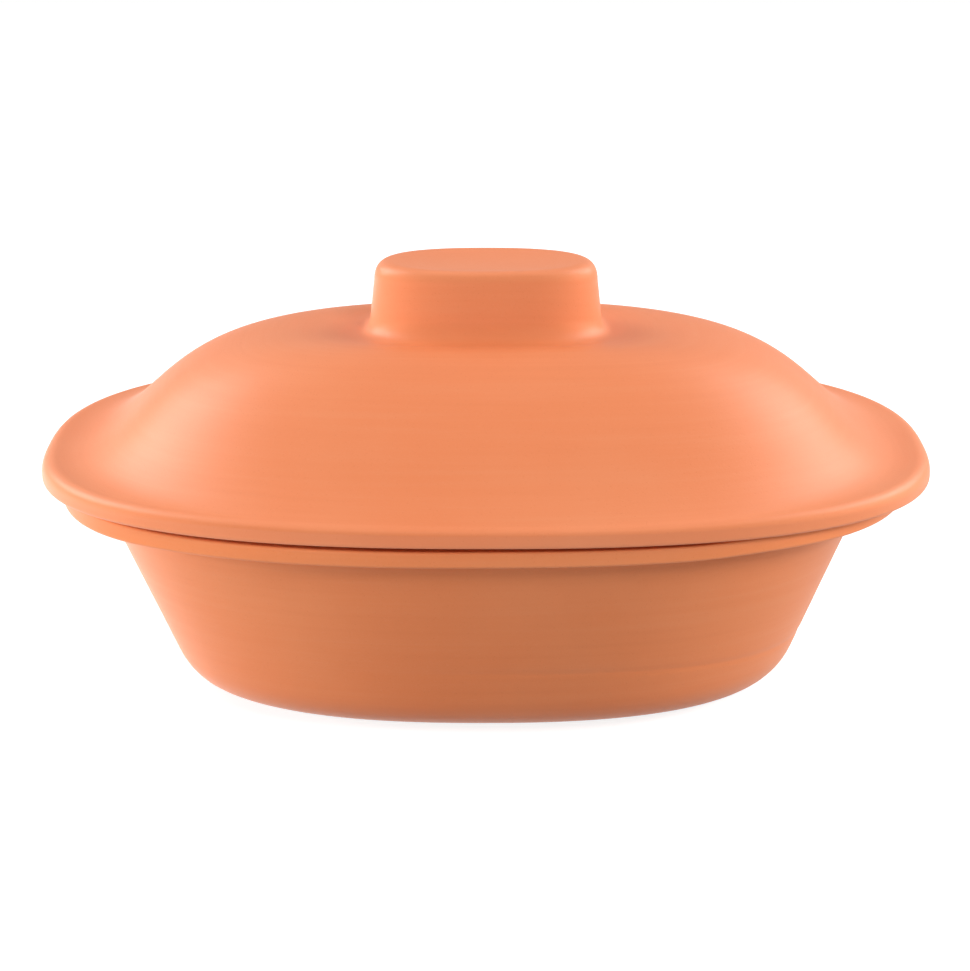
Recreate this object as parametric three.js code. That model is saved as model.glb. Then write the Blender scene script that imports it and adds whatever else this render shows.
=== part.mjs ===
// An oval clay roaster: a leaning dish with a flat ledge of a rim, and a domed lid with a hollow knob that lies loose
// on it. Millimetres, +Z up, the origin in the middle of the foot, the length along X and the width along Y.

import * as THREE from 'three';
import { mergeVertices } from 'three/addons/utils/BufferGeometryUtils.js';

// Both halves
const lidLength = 360;
const lidWidth = 244;
const seatHeight = 92; // underside of the lid's brim above the table
const clay = 8; // thickness of the walls
const seatGap = 0.3; // between the lid's brim and the dish's rim

// Dish
const rimInsetAlong = 9.6; // the rim stops this far inside the edge of the lid's brim
const rimInsetAcross = 3;
const rimThickness = 5.5;
const rimRounding = 1.2;
const ledgeAlong = 16; // how far the rim stands out from the wall
const ledgeAcross = 7.5;
const wallLean = 34; // how far the wall leans out from the table up to the rim
const footRounding = 29.5;
const footRise = 20; // height of the rounding above the table
const floorThickness = 9;
const floorRounding = 22;
const mouthRounding = 2.5;
const footSquareness = 2.37; // 2 is an ellipse, and more is squarer
const rimSquareness = 2.6;

// Lid
const brimThickness = 8.5;
const brimEdge = 1.5; // small rounding along the brim's lower edge
const brimRoundingAlong = 6;
const brimRoundingAcross = 4;
const domeInsetAlong = 44.5; // from the brim's edge to where the dome begins to rise
const domeInsetAcross = 5.5;
const shoulderInsetAlong = 41.5; // from the brim's edge to where the dome bends over
const shoulderInsetAcross = 64.5;
const crownHeight = 55.8; // of the dome's flat top above the seat
const crownMarginAlong = 14.5; // of that flat top around the knob
const crownMarginAcross = 9.5;
const knobLength = 93.4;
const knobWidth = 54.2;
const knobHeight = 27.6;
const knobTaper = 1.7; // each side leans in by this much up to the top
const knobFillet = 5;
const knobRounding = 7.5;
const knobDip = 1.2; // the top is pressed in a little
const hollowRounding = 4;
const lipClearance = 2; // between the lid's lip and the dish's mouth
const lipDepth = 4;
const lipWidth = 7;
const throatRise = 13; // the inside of the dome starts this steep above the lip
const brimSquareness = 2.5;
const domeSquareness = 2.9;
const knobSquareness = 2.4;

// Fineness of the surfaces
const facets = 56; // round each oval
const roundingSteps = 4; // along each rounded edge of a section
const domeSteps = 10; // along the dome, outside and inside

// Heights above the table
const rimTop = seatHeight - seatGap;
const rimUnder = rimTop - rimThickness;
const brimTop = seatHeight + brimThickness;
const crown = seatHeight + crownHeight;
const knobTop = crown + knobHeight;

// Half the size of the dish's outside at a height, where rim is half the size of its rim the same way
function wallAt(height, rim, ledge) {
  return rim - ledge - wallLean * (1 - height / rimUnder);
}

// The dish from the middle of its foot out, up the wall, round the rim and down inside to the middle of its floor,
// drawn along its length or across its width
function dishSection(rim, ledge) {
  const outside = (height) => wallAt(height, rim, ledge);
  const inside = (height) => outside(height) - clay;
  const floorEdge = floorThickness + floorRounding;
  const path = new THREE.Path();
  path.moveTo(0, 0);
  path.lineTo(outside(0) - footRounding, 0);
  path.quadraticCurveTo(outside(0), 0, outside(footRise), footRise);
  path.lineTo(outside(rimUnder), rimUnder);
  path.lineTo(rim - rimRounding, rimUnder);
  path.quadraticCurveTo(rim, rimUnder, rim, rimUnder + rimRounding);
  path.lineTo(rim, rimTop - rimRounding);
  path.quadraticCurveTo(rim, rimTop, rim - rimRounding, rimTop);
  path.lineTo(inside(rimTop) + mouthRounding, rimTop);
  path.quadraticCurveTo(inside(rimTop), rimTop, inside(rimTop - mouthRounding), rimTop - mouthRounding);
  path.lineTo(inside(floorEdge), floorEdge);
  path.quadraticCurveTo(inside(floorThickness), floorThickness, inside(floorThickness) - floorRounding, floorThickness);
  path.lineTo(0, floorThickness);
  return path;
}

// The lid from the top of its hollow knob down inside, round the lip and the brim, and over the dome to the middle of
// the knob's top, drawn along its length or across its width. Each argument is half of that size of the lid.
function lidSection({ brim, brimRounding, domeFoot, shoulder, crownEdge, knob, mouth }) {
  const lip = mouth - lipClearance;
  const throat = lip - lipWidth;
  const lipBottom = seatHeight - lipDepth;
  const crownUnder = crown - clay;
  const hollow = knob - clay;
  const hollowTop = knobTop - knobDip - clay;
  const knobEdge = knob - knobTaper;
  const knobFlat = knobEdge - knobRounding;
  const path = new THREE.Path();
  path.moveTo(0, hollowTop);
  path.lineTo(hollow - knobTaper - hollowRounding, hollowTop);
  path.quadraticCurveTo(hollow - knobTaper, hollowTop, hollow - knobTaper, hollowTop - hollowRounding);
  path.lineTo(hollow, crownUnder + hollowRounding);
  path.quadraticCurveTo(hollow, crownUnder, hollow + hollowRounding, crownUnder);
  path.lineTo(crownEdge - clay, crownUnder);
  path.bezierCurveTo(shoulder - clay, crownUnder, throat, lipBottom + throatRise, throat, lipBottom);
  path.lineTo(lip, lipBottom);
  path.lineTo(lip, seatHeight);
  path.lineTo(brim - brimEdge, seatHeight);
  path.quadraticCurveTo(brim, seatHeight, brim, seatHeight + brimEdge);
  path.quadraticCurveTo(brim, brimTop, brim - brimRounding, brimTop);
  path.bezierCurveTo(domeFoot, brimTop, shoulder, crown, crownEdge, crown);
  path.lineTo(knob + knobFillet, crown);
  path.quadraticCurveTo(knob, crown, knob, crown + knobFillet);
  path.lineTo(knobEdge, knobTop - knobRounding);
  path.quadraticCurveTo(knobEdge, knobTop, knobFlat, knobTop);
  path.quadraticCurveTo(knobFlat / 2, knobTop - knobDip, 0, knobTop - knobDip);
  return path;
}

// The points of a section, with its long curves in finer steps than its rounded edges
function sectionPoints(path) {
  const points = [path.getPoint(0)];
  for (const curve of path.curves) {
    const curveSteps = curve.isCubicBezierCurve ? domeSteps : roundingSteps;
    points.push(...curve.getPoints(curve.isLineCurve ? 1 : curveSteps).slice(1));
  }
  return points;
}

// A solid that is an oval at every level. The two sections share their heights, and give half its length and half its
// width there; squareness(height) is the power of the oval.
function ovalSolid(lengthwise, crosswise, squareness) {
  const halfLengths = sectionPoints(lengthwise);
  const halfWidths = sectionPoints(crosswise);
  const turned = new THREE.LatheGeometry(halfLengths, facets);
  const position = turned.getAttribute('position');
  for (let i = 0; i < position.count; i++) {
    const ring = i % halfLengths.length;
    const angle = (2 * Math.PI * Math.floor(i / halfLengths.length)) / facets;
    const height = halfLengths[ring].y;
    const power = squareness(height);
    const reach = (Math.abs(Math.cos(angle)) ** power + Math.abs(Math.sin(angle)) ** power) ** (-1 / power);
    const x = halfLengths[ring].x * reach * Math.cos(angle);
    const y = halfWidths[ring].x * reach * Math.sin(angle);
    position.setXYZ(i, x, y, height);
  }
  turned.deleteAttribute('normal');
  turned.deleteAttribute('uv');
  const solid = mergeVertices(turned);
  solid.computeVertexNormals();
  return solid;
}

function terracotta(name, geometry, color) {
  const mesh = new THREE.Mesh(geometry, new THREE.MeshStandardMaterial({ color, roughness: 0.9, metalness: 0 }));
  mesh.name = name;
  return mesh;
}

const rimAlong = lidLength / 2 - rimInsetAlong;
const rimAcross = lidWidth / 2 - rimInsetAcross;

const dishGeometry = ovalSolid(
  dishSection(rimAlong, ledgeAlong),
  dishSection(rimAcross, ledgeAcross),
  (height) => THREE.MathUtils.mapLinear(height, 0, rimTop, footSquareness, rimSquareness),
);

const lidGeometry = ovalSolid(
  lidSection({
    brim: lidLength / 2,
    brimRounding: brimRoundingAlong,
    domeFoot: lidLength / 2 - domeInsetAlong,
    shoulder: lidLength / 2 - shoulderInsetAlong,
    crownEdge: knobLength / 2 + crownMarginAlong,
    knob: knobLength / 2,
    mouth: wallAt(rimTop, rimAlong, ledgeAlong) - clay,
  }),
  lidSection({
    brim: lidWidth / 2,
    brimRounding: brimRoundingAcross,
    domeFoot: lidWidth / 2 - domeInsetAcross,
    shoulder: lidWidth / 2 - shoulderInsetAcross,
    crownEdge: knobWidth / 2 + crownMarginAcross,
    knob: knobWidth / 2,
    mouth: wallAt(rimTop, rimAcross, ledgeAcross) - clay,
  }),
  (height) => {
    const upDome = THREE.MathUtils.clamp((height - seatHeight) / crownHeight, 0, 1);
    const upKnob = THREE.MathUtils.clamp((height - crown) / knobFillet, 0, 1);
    const domed = THREE.MathUtils.lerp(brimSquareness, domeSquareness, upDome);
    return THREE.MathUtils.lerp(domed, knobSquareness, upKnob);
  },
);

const roaster = new THREE.Group();
roaster.add(terracotta('dish', dishGeometry, 0xd98a5c));
roaster.add(terracotta('lid', lidGeometry, 0xe8956a));

export default roaster;
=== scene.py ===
import bpy
import numpy as np
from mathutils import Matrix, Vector


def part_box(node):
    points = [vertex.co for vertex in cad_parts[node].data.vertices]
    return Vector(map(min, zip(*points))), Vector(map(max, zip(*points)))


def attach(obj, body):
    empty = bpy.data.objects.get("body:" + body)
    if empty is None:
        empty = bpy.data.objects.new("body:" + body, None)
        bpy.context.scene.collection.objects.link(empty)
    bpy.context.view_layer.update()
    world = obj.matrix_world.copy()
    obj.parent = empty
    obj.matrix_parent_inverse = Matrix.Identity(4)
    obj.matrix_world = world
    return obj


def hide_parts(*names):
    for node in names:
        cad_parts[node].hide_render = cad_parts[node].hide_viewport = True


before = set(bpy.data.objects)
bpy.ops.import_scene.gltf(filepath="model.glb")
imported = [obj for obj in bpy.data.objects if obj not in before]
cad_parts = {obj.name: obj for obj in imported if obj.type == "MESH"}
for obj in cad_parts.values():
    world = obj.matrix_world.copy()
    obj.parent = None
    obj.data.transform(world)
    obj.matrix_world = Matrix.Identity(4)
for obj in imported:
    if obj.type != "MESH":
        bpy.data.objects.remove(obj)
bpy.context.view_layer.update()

# The dish: one pressing of orange clay, fired without a glaze. It has a flat foot, a wall that leans out
# all round, and a rim turned out as a flat ledge that is widest at the two ends, where hands take hold.
# A size called ends holds along the length, and one called sides across the width.
rim_ends, rim_sides, rim_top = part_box("dish")[1]
clay = 0.008
rim_thickness = 0.0055
rim_rounding = 0.0012
ledge_ends = 0.016
ledge_sides = 0.0075
ledge_fillet = 0.003
wall_lean = 0.034
foot_rounding = 0.028
foot_rise = 0.0195
floor_thickness = 0.009
floor_rounding = 0.022
mouth_rounding = 0.0025
wiping_rise = 0.020  # the stretch of wall above the foot that is drawn finer, for the groove
foot_squareness = 2.37
rim_squareness = 2.6
dish_turns = 320
rim_under = rim_top - rim_thickness


def draw(start, *strokes):
    """A section line as an array of (half size, height). Each stroke starts where the last one ended and
    gives its number of steps and its next points: it is the Bezier curve of those points, so one point
    makes a straight stroke, two a rounded corner and three a sweep."""
    pieces = [np.array([start], float)]
    for steps, *points in strokes:
        t = np.linspace(0, 1, steps + 1)[1:, None]
        hull = [pieces[-1][-1:]] + [np.array([point], float) for point in points]
        while len(hull) > 1:
            hull = [a + t * (b - a) for a, b in zip(hull, hull[1:])]
        pieces.append(hull[0])
    return np.vstack(pieces)


def oval_rings(lengthwise, crosswise, squareness, turns):
    """Points of a body that is an oval at each level, as rings by turns by 3. The two sections give half
    the length and half the width of each ring, and its height at the ends and at the sides. Round it
    x = half length * reach * cos a and y = half width * reach * sin a, with
    reach = (|cos a|^p + |sin a|^p)^(-1/p), where p is the ring's squareness: 2 makes an ellipse, and more
    is squarer. The height goes from that at the ends to that at the sides with (reach * |sin a|)^p."""
    angle = np.arange(turns) * 2 * np.pi / turns
    power = squareness[:, None]
    reach = (np.abs(np.cos(angle)) ** power + np.abs(np.sin(angle)) ** power) ** (-1 / power)
    x = lengthwise[:, :1] * reach * np.cos(angle)
    y = crosswise[:, :1] * reach * np.sin(angle)
    sideways = (reach * np.abs(np.sin(angle))) ** power
    z = lengthwise[:, 1:] + (crosswise[:, 1:] - lengthwise[:, 1:]) * sideways
    return np.stack([x, y, z], axis=-1)


def smooth_step(value, low, high):
    """0 below low, 1 above high, and 3t^2 - 2t^3 between them."""
    t = np.clip((value - low) / (high - low), 0, 1)
    return t * t * (3 - 2 * t)


sharp_turning = 250  # radians to the metre: the turning of an edge with a 4 mm radius


def clay_piece(name, rings, section):
    """A closed mesh from rings whose first and last are single points: a fan at each end and quads
    between. It carries two attributes: along, the length of the section up to the ring, and edge, how
    sharply the section turns there: the hyperbolic tangent of its turning, from -1 in a crease to 1 on a
    sharp edge."""
    count, turns = rings.shape[:2]
    points = np.vstack([rings[:1, 0], rings[1:-1].reshape(-1, 3), rings[-1:, 0]])
    inner = np.arange((count - 2) * turns).reshape(count - 2, turns) + 1
    ahead = np.roll(inner, -1, axis=1)
    quads = np.stack([inner[:-1], ahead[:-1], ahead[1:], inner[1:]], axis=-1).reshape(-1, 4)
    first_fan = np.stack([np.zeros(turns, int), ahead[0], inner[0]], axis=-1)
    last_fan = np.stack([inner[-1], ahead[-1], np.full(turns, len(points) - 1)], axis=-1)
    mesh = bpy.data.meshes.new(name)
    mesh.from_pydata(points.tolist(), [], quads.tolist() + first_fan.tolist() + last_fan.tolist())
    mesh.polygons.foreach_set("use_smooth", np.ones(len(mesh.polygons), bool))

    step = np.diff(section, axis=0)
    length = np.hypot(*step.T)
    heading = np.unwrap(np.arctan2(step[:, 1], step[:, 0]))
    along = np.concatenate([[0], np.cumsum(length)])
    turning = np.zeros(count)
    turning[1:-1] = np.diff(heading) / ((length[1:] + length[:-1]) / 2)
    edge = np.tanh(turning / sharp_turning)
    for title, values in (("along", along), ("edge", edge)):
        spread = np.concatenate([values[:1], np.repeat(values[1:-1], turns), values[-1:]])
        mesh.attributes.new(title, "FLOAT", "POINT").data.foreach_set("value", spread.astype(np.float32))
    piece = bpy.data.objects.new(name, mesh)
    bpy.context.scene.collection.objects.link(piece)
    return piece


def dish_section(rim, ledge):
    """The dish from the middle of its foot out, up the wall, round the rim and down inside to its floor,
    where rim is half the size of the rim, and ledge is how far the rim stands out from the wall."""

    def outside(height):
        """Half the size of the outside, which grows evenly with the height up to the rim's underside."""
        return rim - ledge - wall_lean * (1 - height / rim_under)

    def inside(height):
        """Half the size of the inside: that of the outside less the wall's thickness."""
        return outside(height) - clay

    wiped = foot_rise + wiping_rise
    below = rim_under - ledge_fillet
    rim_low, rim_high = rim_under + rim_rounding, rim_top - rim_rounding
    mouth = rim_top - mouth_rounding
    floor_corner = inside(floor_thickness)
    floor_edge = floor_thickness + floor_rounding
    return draw(
        (0, 0),
        (22, (outside(0) - foot_rounding, 0)),
        (16, (outside(0), 0), (outside(foot_rise), foot_rise)),
        (40, (outside(wiped), wiped)),
        (24, (outside(below), below)),
        (8, (outside(rim_under), rim_under), (outside(rim_under) + ledge_fillet, rim_under)),
        (6, (rim - rim_rounding, rim_under)),
        (8, (rim, rim_under), (rim, rim_low)),
        (3, (rim, rim_high)),
        (8, (rim, rim_top), (rim - rim_rounding, rim_top)),
        (12, (inside(rim_top) + mouth_rounding, rim_top)),
        (8, (inside(rim_top), rim_top), (inside(mouth), mouth)),
        (26, (inside(floor_edge), floor_edge)),
        (16, (floor_corner, floor_thickness), (floor_corner - floor_rounding, floor_thickness)),
        (22, (0, floor_thickness)),
    )


dish_lengthwise = dish_section(rim_ends, ledge_ends)
dish_crosswise = dish_section(rim_sides, ledge_sides)
dish_squareness = foot_squareness + (rim_squareness - foot_squareness) * dish_lengthwise[:, 1] / rim_top
dish_rings = oval_rings(dish_lengthwise, dish_crosswise, dish_squareness, dish_turns)
outer_rings = np.argmax(dish_lengthwise[:, 1]) + 1

# In the kiln the wall leaned a little to the left and sank there, and the rim stayed thicker at mid
# length and at its left end. Towards both ends its top is higher, and there the lid touches it. Spans are
# in parts of half the length, from the middle out.
left_lean = 0.0008
left_sag = 0.0017
sag_starts = 0.010
rim_arch = 0.0011
rim_bow = 0.0005
rim_starts = 0.080
left_drop = 0.0011
left_drop_span = (0.6, 0.95)
touch_left = 0.0006
touch_left_span = (0.05, 0.6)
touch_right = 0.0034
touch_right_span = (0.45, 0.7)

# A sponge wiped round the foot left a faint groove low on the wall, clearest on the right
groove_height = 0.033
groove_dips = 0.010
groove_depth = 0.0003
groove_width = 0.0016
groove_span = (-0.5, 0.4)


def fired_dish(rings):
    """The dish as it left the kiln. Up its wall it moves left by a lean. Its height is less by a sag that
    grows evenly from the right end to the left one. The rim's top is higher by an arch of
    1 - (x / half length)^4 and by smooth steps towards both ends, of which the right one falls off again
    to the end. Its underside is lower by a bow of 1 - (x / half length)^2 and by a smooth step to the left
    end. The groove takes a bell curve of clay off the outside of the wall, lower at the ends than at the
    sides."""
    x, z = rings[..., 0] / rim_ends, rings[..., 2]
    sag = left_sag * (1 - x) / 2 * smooth_step(z, 0, sag_starts)
    arch = rim_arch * (1 - x**4) + touch_left * smooth_step(-x, *touch_left_span)
    arch += touch_right * (1 - x) * smooth_step(x, *touch_right_span)
    arch *= smooth_step(z, rim_starts, rim_top)
    bow = rim_bow * (1 - x**2) + left_drop * smooth_step(-x, *left_drop_span)
    bow *= smooth_step(z, rim_starts, rim_under) * (1 - smooth_step(z, rim_under, rim_top))
    groove = np.exp(-(((z - groove_height + groove_dips * x**2) / groove_width) ** 2))
    groove *= groove_depth * smooth_step(x, *groove_span)
    groove[outer_rings:] = 0
    fired = rings.copy()
    fired[..., :2] *= (1 - groove / rim_sides)[..., None]
    fired[..., 0] -= left_lean * smooth_step(z, 0, rim_under)
    fired[..., 2] += arch - sag - bow
    return fired


def feed(socket, source):
    """Sets a node's socket to a number or colour, or links it to another node's output."""
    if isinstance(source, bpy.types.NodeSocket):
        socket.id_data.links.new(source, socket)
    else:
        socket.default_value = source


def math_node(tree, operation, *values):
    """The outcome of one operation on its values, each of them a number or another node's output."""
    made = tree.nodes.new("ShaderNodeMath")
    made.operation = operation
    for socket, value in zip(made.inputs, values):
        feed(socket, value)
    return made.outputs[0]


def fade(tree, value, low, high, start=0.0, end=1.0):
    """A smooth step from start to end while value goes from low to high."""
    made = tree.nodes.new("ShaderNodeMapRange")
    made.interpolation_type = "SMOOTHSTEP"
    feed(made.inputs["Value"], value)
    feed(made.inputs["From Min"], low)
    feed(made.inputs["From Max"], high)
    feed(made.inputs["To Min"], start)
    feed(made.inputs["To Max"], end)
    return made.outputs["Result"]


# The clay's marks, as so many to the metre, the depths of its relief in metres and how much of that shows,
# and how far its roughness spreads
streaks_round = 9
streaks_along = 260
flush_rate = 11
grain_rate = 1100
grit_rate = 520
grain_depth = 0.00005
streak_depth = 0.00005
grit_depth = 0.00004
relief_strength = 0.6
roughness_spread = 0.14


def fired_clay(name, body, flush, pale, dark_and_crease_shade, gloss, roughness):
    """Unglazed clay: a body colour with soft flushes from the kiln, wiping streaks that run round the
    piece, fine grain with scattered grit, paler rubbed edges, and painted shade that darkens the creases
    a little. Each of these is a mask that lays a share of its own colour over those before it."""
    material = bpy.data.materials.new(name)
    material.use_nodes = True
    tree = material.node_tree
    shader = tree.nodes["Principled BSDF"]
    shader.inputs["Specular IOR Level"].default_value = gloss

    def times(a, b):
        """The product of two values."""
        return math_node(tree, "MULTIPLY", a, b)

    def noise(vector, rate, detail, fineness=0.5):
        """Soft noise from 0 to 1 that changes at a rate, with finer noise of the same kind added in it."""
        made = tree.nodes.new("ShaderNodeTexNoise")
        feed(made.inputs["Vector"], vector)
        feed(made.inputs["Scale"], rate)
        feed(made.inputs["Detail"], detail)
        feed(made.inputs["Roughness"], fineness)
        return made.outputs["Fac"]

    def carried(title):
        """One of the two values that the mesh carries."""
        made = tree.nodes.new("ShaderNodeAttribute")
        made.attribute_name = title
        return made.outputs["Fac"]

    # Streaks are noise that changes quickly along the section and slowly round the piece
    place = tree.nodes.new("ShaderNodeTexCoord").outputs["Object"]
    split = tree.nodes.new("ShaderNodeSeparateXYZ")
    feed(split.inputs[0], place)
    round_piece = tree.nodes.new("ShaderNodeCombineXYZ")
    feed(round_piece.inputs[0], times(split.outputs[0], streaks_round))
    feed(round_piece.inputs[1], times(split.outputs[1], streaks_round))
    feed(round_piece.inputs[2], times(carried("along"), streaks_along))
    streaks = noise(round_piece.outputs[0], rate=1, detail=4, fineness=0.6)

    edge = carried("edge")
    flushes = noise(place, flush_rate, detail=3)
    grain = noise(place, grain_rate, detail=3, fineness=0.6)
    grit = tree.nodes.new("ShaderNodeTexVoronoi")
    feed(grit.inputs["Vector"], place)
    feed(grit.inputs["Scale"], grit_rate)
    speck = fade(tree, grit.outputs["Distance"], low=0.20, high=0.08)

    # The layers over the body colour: mask, share and colour of each
    layers = (
        (fade(tree, flushes, low=0.35, high=0.75), 1, flush),
        (fade(tree, streaks, low=0.45, high=0.75), 0.12, pale),
        (fade(tree, streaks, low=0.50, high=0.25), 0.08, dark_and_crease_shade),
        (fade(tree, grain, low=0.5, high=0.8), 0.16, pale),
        (speck, 0.18, dark_and_crease_shade),
        (fade(tree, edge, low=0.2, high=1.0), 0.10, pale),
        # painted shade: where the section turns inward into a crease, a share of the dark colour darkens
        # it
        (fade(tree, edge, low=-0.1, high=-0.9), 0.12, dark_and_crease_shade),
    )
    colour = (*body, 1)
    for mask, share, hue in layers:
        tint = tree.nodes.new("ShaderNodeMix")
        tint.data_type = "RGBA"
        feed(tint.inputs["Factor"], times(mask, share))
        feed(tint.inputs[6], colour)
        feed(tint.inputs[7], (*hue, 1))
        colour = tint.outputs[2]
    feed(shader.inputs["Base Color"], colour)

    rough = math_node(tree, "ADD", times(grain, roughness_spread), roughness - roughness_spread / 2)
    feed(shader.inputs["Roughness"], rough)

    relief = math_node(tree, "ADD", times(grain, grain_depth), times(streaks, streak_depth))
    relief = math_node(tree, "SUBTRACT", relief, times(speck, grit_depth))
    bump = tree.nodes.new("ShaderNodeBump")
    feed(bump.inputs["Height"], relief)
    feed(bump.inputs["Strength"], relief_strength)
    feed(bump.inputs["Distance"], 1.0)
    feed(shader.inputs["Normal"], bump.outputs["Normal"])
    return material


dish = clay_piece("clay_dish", fired_dish(dish_rings), dish_lengthwise)
dish.data.materials.append(
    fired_clay(
        "dish_terracotta",
        body=(0.856, 0.256, 0.0909),
        flush=(0.866, 0.28, 0.108),
        pale=(0.886, 0.364, 0.186),
        dark_and_crease_shade=(0.682, 0.174, 0.0557),
        gloss=0.25,
        roughness=0.4,
    )
)
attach(dish, "dish")
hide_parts("dish")

# The lid: a second pressing of the same clay, loose on the dish. Its brim lies on the ledge, a low lip
# under the brim drops into the dish's mouth, and a hollow knob is drawn up out of the crown of the dome.
lid_low, lid_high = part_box("lid")
brim_ends, brim_sides, knob_top = lid_high
lip_depth = 0.004
seat = lid_low.z + lip_depth
brim_thickness = 0.0085
brim_edge = 0.0015
brim_face_ends = 0.002
brim_face_sides = 0.0052
brim_rounding_ends = 0.006
brim_rounding_sides = 0.0035
brim_corner_sides = 0.0069
brim_hollow_ends = 0.0015
dome_inset_ends = 0.043
dome_inset_sides = 0.009
dome_start_sides = 0.0115
shoulder_inset_ends = 0.0392
shoulder_inset_sides = 0.0645
crown_height = 0.0552
crown_rise_sides = 0.0014
crown_margin_ends = 0.0145
crown_margin_sides = 0.0095
knob_ends = 0.0467
knob_sides = 0.0271
knob_taper = 0.0017
knob_fillet_ends = 0.005
knob_fillet_sides = 0.009
knob_rounding_ends = 0.0078
knob_rounding_sides = 0.005
knob_dip = 0.0012
hollow_rounding = 0.004
lip_clearance = 0.002
lip_width = 0.007
lip_rounding = 0.0015
throat_rise = 0.013
brim_squareness = 2.5
dome_squareness = 2.9
knob_squareness = 2.4
lid_turns = 336
brim_top = seat + brim_thickness
crown_ends = seat + crown_height
mouth_lean = wall_lean * (rim_top / rim_under - 1)


def lid_section(
    brim, face, brim_rounding, corner, dome_foot, dome_start, shoulder, crown_edge, crown,
    knob, fillet, rounding, mouth,
):
    """The lid from the top of its hollow knob down inside, round the lip and the brim, and over the dome
    to the middle of the knob's top. Sizes are half of the lid's own, and crown is a height. face, corner
    and dome_start are heights above the seat: of the brim's straight face, and of the handles that shape
    its upper edge and the start of the dome. fillet and rounding are those of the knob."""
    lip = mouth - lip_clearance
    throat = lip - lip_width
    lip_bottom = seat - lip_depth
    lip_low, lip_high = lip_bottom + lip_rounding, seat - lip_rounding
    crown_under = crown - clay
    hollow = knob - clay
    hollow_end = hollow - knob_taper
    hollow_top = knob_top - knob_dip - clay
    knob_edge = knob - knob_taper
    knob_flat = knob_edge - rounding
    return draw(
        (0, hollow_top),
        (10, (hollow_end - hollow_rounding, hollow_top)),
        (8, (hollow_end, hollow_top), (hollow_end, hollow_top - hollow_rounding)),
        (10, (hollow, crown_under + hollow_rounding)),
        (8, (hollow, crown_under), (hollow + hollow_rounding, crown_under)),
        (4, (crown_edge - clay, crown_under)),
        (44, (shoulder - clay, crown_under), (throat, lip_bottom + throat_rise), (throat, lip_low)),
        (5, (throat, lip_bottom), (throat + lip_rounding, lip_bottom)),
        (2, (lip - lip_rounding, lip_bottom)),
        (5, (lip, lip_bottom), (lip, lip_low)),
        (2, (lip, lip_high)),
        (5, (lip, seat), (lip + lip_rounding, seat)),
        (12, (brim - brim_edge, seat)),
        (6, (brim, seat), (brim, seat + brim_edge)),
        (3, (brim, seat + face)),
        (10, (brim, seat + corner), (brim - brim_rounding, brim_top)),
        (84, (dome_foot, seat + dome_start), (shoulder, crown), (crown_edge, crown)),
        (4, (knob + fillet, crown)),
        (10, (knob, crown), (knob, crown + fillet)),
        (12, (knob_edge, knob_top - rounding)),
        (14, (knob_edge, knob_top), (knob_flat, knob_top)),
        (16, (knob_flat / 2, knob_top - knob_dip), (0, knob_top - knob_dip)),
    )


lid_lengthwise = lid_section(
    brim=brim_ends,
    face=brim_face_ends,
    brim_rounding=brim_rounding_ends,
    corner=brim_thickness,
    dome_foot=brim_ends - dome_inset_ends,
    dome_start=brim_thickness - brim_hollow_ends,
    shoulder=brim_ends - shoulder_inset_ends,
    crown_edge=knob_ends + crown_margin_ends,
    crown=crown_ends,
    knob=knob_ends,
    fillet=knob_fillet_ends,
    rounding=knob_rounding_ends,
    mouth=rim_ends - ledge_ends + mouth_lean - clay,
)
lid_crosswise = lid_section(
    brim=brim_sides,
    face=brim_face_sides,
    brim_rounding=brim_rounding_sides,
    corner=brim_corner_sides,
    dome_foot=brim_sides - dome_inset_sides,
    dome_start=dome_start_sides,
    shoulder=brim_sides - shoulder_inset_sides,
    crown_edge=knob_sides + crown_margin_sides,
    crown=crown_ends + crown_rise_sides,
    knob=knob_sides,
    fillet=knob_fillet_sides,
    rounding=knob_rounding_sides,
    mouth=rim_sides - ledge_sides + mouth_lean - clay,
)
lid_height = lid_lengthwise[:, 1]
up_dome = np.clip((lid_height - seat) / crown_height, 0, 1)
up_knob = np.clip((lid_height - crown_ends) / knob_fillet_ends, 0, 1)
lid_squareness = brim_squareness + (dome_squareness - brim_squareness) * up_dome
lid_squareness += (knob_squareness - lid_squareness) * up_knob
lid_rings = oval_rings(lid_lengthwise, lid_crosswise, lid_squareness, lid_turns)

# The brim's long sides lifted a little in the kiln, so the lid touches the dish only near its ends, and
# it was put on a hair to the right of the middle
brim_arch = 0.002
arch_power = 4
arch_fades = 0.022
put_right = 0.0003


def fired_lid(rings):
    """The lid as it left the kiln: its brim higher by an arch of 1 - |x / half length|^power, fading up
    the dome, and all of it moved to the right by a little."""
    x, z = rings[..., 0] / brim_ends, rings[..., 2]
    arch = brim_arch * (1 - np.abs(x) ** arch_power)
    fired = rings.copy()
    fired[..., 0] += put_right
    fired[..., 2] += arch * (1 - smooth_step(z, seat, seat + arch_fades))
    return fired


lid = clay_piece("clay_lid", fired_lid(lid_rings), lid_lengthwise)
lid.data.materials.append(
    fired_clay(
        "lid_terracotta",
        body=(0.825, 0.242, 0.0946),
        flush=(0.835, 0.266, 0.112),
        pale=(0.851, 0.345, 0.179),
        dark_and_crease_shade=(0.662, 0.172, 0.0578),
        gloss=0.5,
        roughness=0.42,
    )
)
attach(lid, "lid")
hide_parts("lid")

# The studio: a white table top that runs past the picture, a white room round it, five soft boxes, and a
# camera with a long lens, a little above the lid.
table_half = 2.0
table_grey = 0.4
table_glow = 0.85
table_reach = (-table_half, table_half)
table_mesh = bpy.data.meshes.new("table_top")
table_mesh.from_pydata([(x, y, 0) for y in table_reach for x in table_reach], [], [(0, 1, 3, 2)])
table = bpy.data.objects.new("table_top", table_mesh)
bpy.context.scene.collection.objects.link(table)


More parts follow.
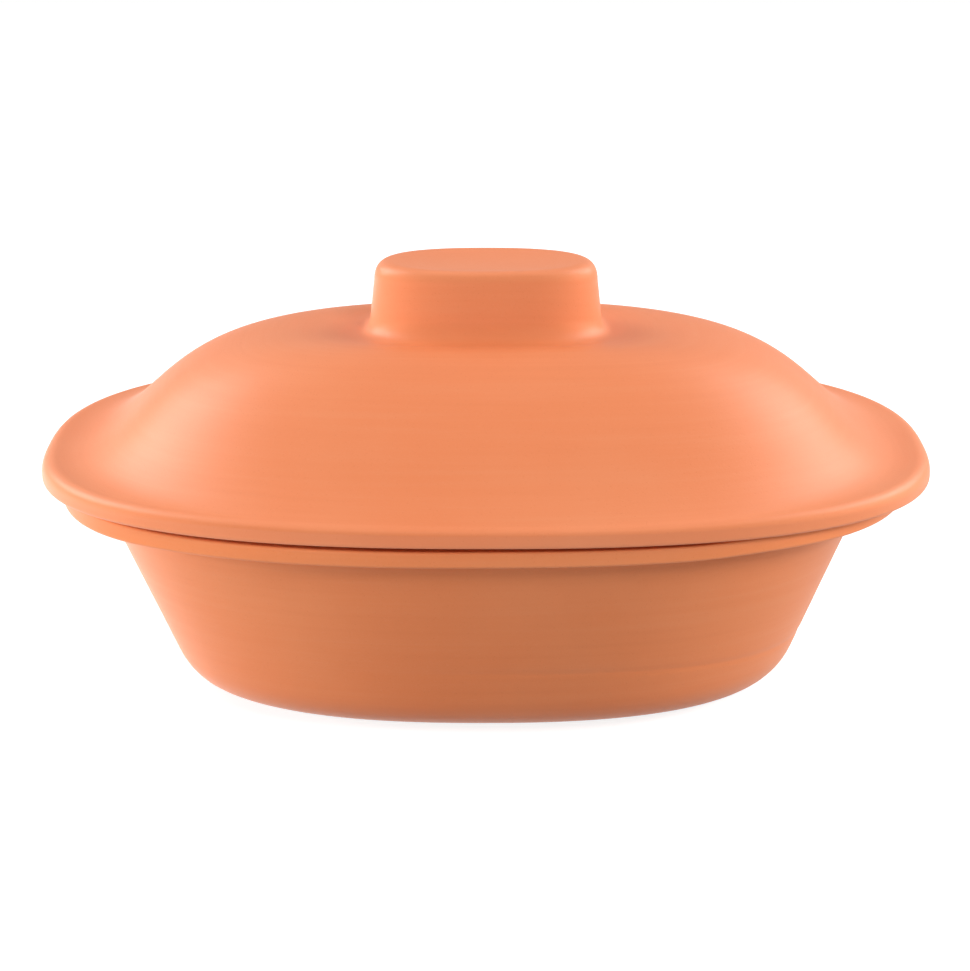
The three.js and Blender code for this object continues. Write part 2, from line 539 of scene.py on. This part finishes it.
def place_along(tree, axis):
    """One coordinate of the spot on the table, or of the direction into the room, that a ray meets."""
    place = tree.nodes.new("ShaderNodeTexCoord")
    split = tree.nodes.new("ShaderNodeSeparateXYZ")
    feed(split.inputs[0], place.outputs["Object"])
    return split.outputs[axis]


def seen(tree, mirrored):
    """How brightly a ray shows the studio itself: 1 straight from the camera, mirrored times as bright in
    gloss or through glass, and 0 for a ray that only gathers its light."""
    path = tree.nodes.new("ShaderNodeLightPath")
    either = math_node(tree, "MAXIMUM", path.outputs["Is Glossy Ray"], path.outputs["Is Transmission Ray"])
    return math_node(tree, "MULTIPLY_ADD", either, mirrored, path.outputs["Is Camera Ray"])


# The table's glow, which only the clay's gloss shows, is painted brighter on the left: a painted pool of
# light where a lamp stands low beside it
gloss_left = 1.8
gloss_right = 0.6
gloss_change = 0.25
table_white = bpy.data.materials.new("table_white")
table_white.use_nodes = True
table_tree = table_white.node_tree
table_tree.nodes.remove(table_tree.nodes["Principled BSDF"])
surface = table_tree.nodes.new("ShaderNodeBsdfDiffuse")
surface.inputs["Color"].default_value = (table_grey, table_grey, table_grey, 1)
glow = table_tree.nodes.new("ShaderNodeEmission")
glow.inputs["Color"].default_value = (table_glow, table_glow, table_glow, 1)
to_right = place_along(table_tree, "X")
# painted light: the glow seen in reflections runs from bright on the left to dim on the right
mirrored_table = fade(table_tree, to_right, -gloss_change, gloss_change, gloss_left, gloss_right)
feed(glow.inputs["Strength"], seen(table_tree, mirrored_table))
together = table_tree.nodes.new("ShaderNodeAddShader")
feed(together.inputs[0], surface.outputs[0])
feed(together.inputs[1], glow.outputs[0])
feed(table_tree.nodes["Material Output"].inputs["Surface"], together.outputs[0])
table_mesh.materials.append(table_white)

# The room gives a soft light from all round. The clay mirrors its side walls in full and the wall behind
# the roaster by half, and behind the camera it mirrors nothing brighter than that light.
room_light = 0.23
back_wall_light = 0.49
world = bpy.data.worlds.new("studio_air")
bpy.context.scene.world = world
world.use_nodes = True
room = world.node_tree
air = room.nodes["Background"]
air.inputs["Color"].default_value = (1, 1, 1, 1)
back_wall = fade(room, place_along(room, "Y"), low=-0.8, high=0.2, end=back_wall_light)
side_walls = fade(room, math_node(room, "ABSOLUTE", place_along(room, "X")), low=0.45, high=0.85)
mirrored_room = math_node(room, "MAXIMUM", back_wall, side_walls)
feed(air.inputs["Strength"], math_node(room, "MAXIMUM", seen(room, mirrored_room), room_light))

soft_box_distance = 1.9
roaster_middle = 0.09


def soft_box(name, azimuth, elevation, power, size, mirrored=False):
    """A square lamp that faces the middle of the roaster, turned round it from the front by azimuth and
    lifted by elevation, both in degrees. The clay's gloss shows it only where it is mirrored."""
    lamp = bpy.data.lights.new(name, "AREA")
    lamp.shape = "SQUARE"
    lamp.size = size
    lamp.energy = power
    a, e = np.radians([azimuth, elevation])
    outward = Vector((np.sin(a) * np.cos(e), -np.cos(a) * np.cos(e), np.sin(e)))
    box = bpy.data.objects.new(name, lamp)
    box.location = Vector((0, 0, roaster_middle)) + outward * soft_box_distance
    box.rotation_mode = "QUATERNION"
    box.rotation_quaternion = (-outward).to_track_quat("-Z", "Y")
    box.visible_glossy = mirrored
    bpy.context.scene.collection.objects.link(box)


soft_box("left_soft_box", azimuth=-78, elevation=9, power=28.5, size=0.53)
soft_box("right_soft_box", azimuth=82, elevation=19, power=19.8, size=0.53)
soft_box("front_soft_box", azimuth=26, elevation=34, power=11.8, size=0.53)
soft_box("back_left_soft_box", azimuth=-121, elevation=36, power=17.7, size=1.12, mirrored=True)
soft_box("back_right_soft_box", azimuth=124, elevation=36, power=14.5, size=1.12, mirrored=True)

camera_aim = Vector((-0.00008, 0, 0.08))
camera_distance = 1.145
camera_elevation = np.radians(17.77)
image_long_side = 971
focal_pixels = 2776
camera_data = bpy.data.cameras.new("camera")
camera_data.sensor_width = 36
camera_data.lens = focal_pixels * camera_data.sensor_width / image_long_side
camera = bpy.data.objects.new("camera", camera_data)
away = Vector((0, -np.cos(camera_elevation), np.sin(camera_elevation)))
camera.location = camera_aim + away * camera_distance
camera.rotation_mode = "QUATERNION"
camera.rotation_quaternion = (-away).to_track_quat("-Z", "Y")
bpy.context.scene.collection.objects.link(camera)
bpy.context.scene.camera = camera
bpy.context.scene.view_settings.view_transform = "Standard"
